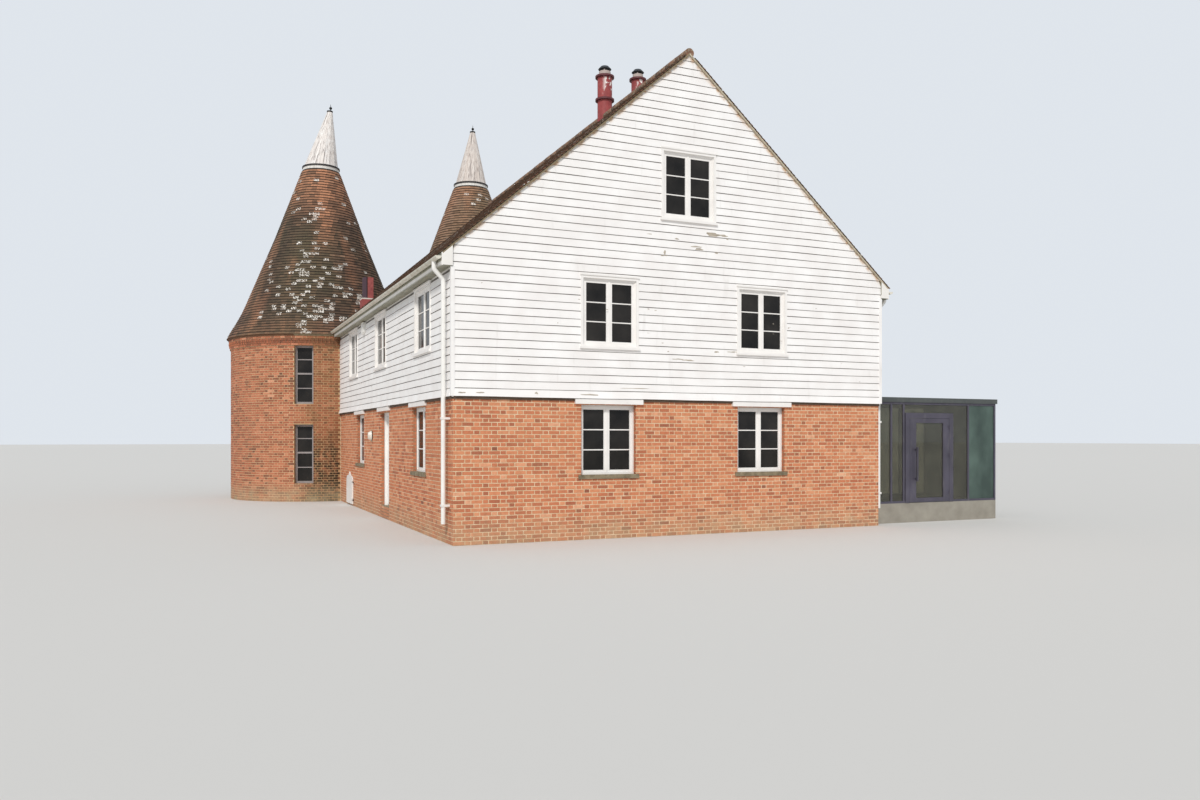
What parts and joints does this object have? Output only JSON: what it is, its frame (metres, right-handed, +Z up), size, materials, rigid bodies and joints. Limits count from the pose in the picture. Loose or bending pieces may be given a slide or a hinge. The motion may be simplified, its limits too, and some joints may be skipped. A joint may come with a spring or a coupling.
{
  "type": "oast house",
  "caption": "Oast house: boarded barn on a brick storey, round kilns with tiled cones and turning white cowls, roof flues and a glazed side link with a hinged door.",
  "frame": {"origin": "on the ground under the middle of the barn", "axes": "+X along the boarded gable to its right, +Y from the gable towards the round kilns, +Z up"},
  "size_m": [16.8649, 19.1399, 13.403],
  "materials": {
    "floor": "screeded concrete and stone",
    "floor_boards": "softwood boards",
    "brick": "red stock brick in pale mortar",
    "roundel_brick": "weathered red brick in pale mortar",
    "stone": "weathered stone",
    "weatherboard": "white painted boards",
    "roof_tile": "clay plain tiles",
    "kiln_tile": "weathered clay tiles with lichen",
    "ridge_tile": "half-round clay ridge",
    "white_joinery": "white gloss paint on timber",
    "white_plastic": "white moulded plastic",
    "window_glass": "clear glass",
    "black_iron": "black painted iron",
    "lamp": "opal cover",
    "cowl_board": "weathered white painted boards",
    "cowl_iron": "painted iron",
    "grey_metal": "grey paint",
    "kerb": "white painted timber ring",
    "lead": "dull lead sheet",
    "terracotta": "red masonry paint, peeling",
    "link_metal": "powder coated grey",
    "link_glass": "clear glass",
    "obscured_glass": "blue-green obscured glass"
  },
  "bodies": {
    "house": {"attic_floor": "floor_boards", "door_heads": "brick", "downpipes": "white_plastic", "eaves_alarm_box": "white_plastic", "eaves_boxes": "white_joinery", "first_floor": "floor_boards", "flues": "terracotta", "front_gable": "weatherboard", "front_wall": "brick", "front_windows": "white_joinery", "ground_floor": "floor", "gutters": "white_plastic", "hatch_plates": "black_iron", "left_roof": "roof_tile", "left_roundel_roof": "kiln_tile", "left_roundel_wall": "roundel_brick", "left_upper_wall": "weatherboard", "left_wall": "brick", "left_windows": "white_joinery", "link_floor": "floor", "link_frame": "link_metal", "link_glass": "link_glass", "link_obscured_panels": "obscured_glass", "link_roof": "link_metal", "lintel_boards": "white_joinery", "rear_gable": "weatherboard", "rear_upper_wall": "weatherboard", "rear_wall": "brick", "rear_windows": "white_joinery", "ridge_tiles": "ridge_tile", "right_roof": "roof_tile", "right_roundel_roof": "kiln_tile", "right_roundel_wall": "roundel_brick", "right_upper_wall": "weatherboard", "right_wall": "brick", "right_windows": "white_joinery", "roundel_floors": "floor_boards", "roundel_glass": "window_glass", "roundel_kerbs": "kerb", "roundel_windows": "grey_metal", "side_door_frame": "white_joinery", "small_chimney": "terracotta", "stone_sills": "stone", "thresholds": "stone", "throat_cheeks": "roundel_brick", "throat_heads": "roundel_brick", "valley_lead": "lead", "wall_lamp": "lamp", "window_glass": "window_glass"},
    "side_door": {"side_door": "white_joinery"},
    "hatch": {"hatch": "white_joinery"},
    "link_door": {"link_door": "link_metal", "link_door_glass": "link_glass"},
    "left_cowl": {"left_cowl": "cowl_board", "left_cowl_spindle": "cowl_iron"},
    "right_cowl": {"right_cowl": "cowl_board", "right_cowl_spindle": "cowl_iron"}
  },
  "joints": [
    {"name": "side_door_hinge", "type": "hinge", "parent": "house", "child": "side_door", "pos_m": [-4.628, 0.187, 0.3], "axis": [0, 0, 1], "range_deg": [0, 100]},
    {"name": "hatch_hinge", "type": "hinge", "parent": "house", "child": "hatch", "pos_m": [-4.906, 4.283, 0.2], "axis": [0, 0, 1], "range_deg": [0, 110]},
    {"name": "link_door_hinge", "type": "hinge", "parent": "house", "child": "link_door", "pos_m": [7.287, -6.322, 0.6], "axis": [0, 0, 1], "range_deg": [0, 100]},
    {"name": "left_cowl_turn", "type": "hinge", "parent": "house", "child": "left_cowl", "pos_m": [-5.11, 9.45, 11.1], "axis": [0, 0, 1], "continuous": true},
    {"name": "right_cowl_turn", "type": "hinge", "parent": "house", "child": "right_cowl", "pos_m": [0.11, 9.45, 11.1], "axis": [0, 0, 1], "continuous": true}
  ]
}
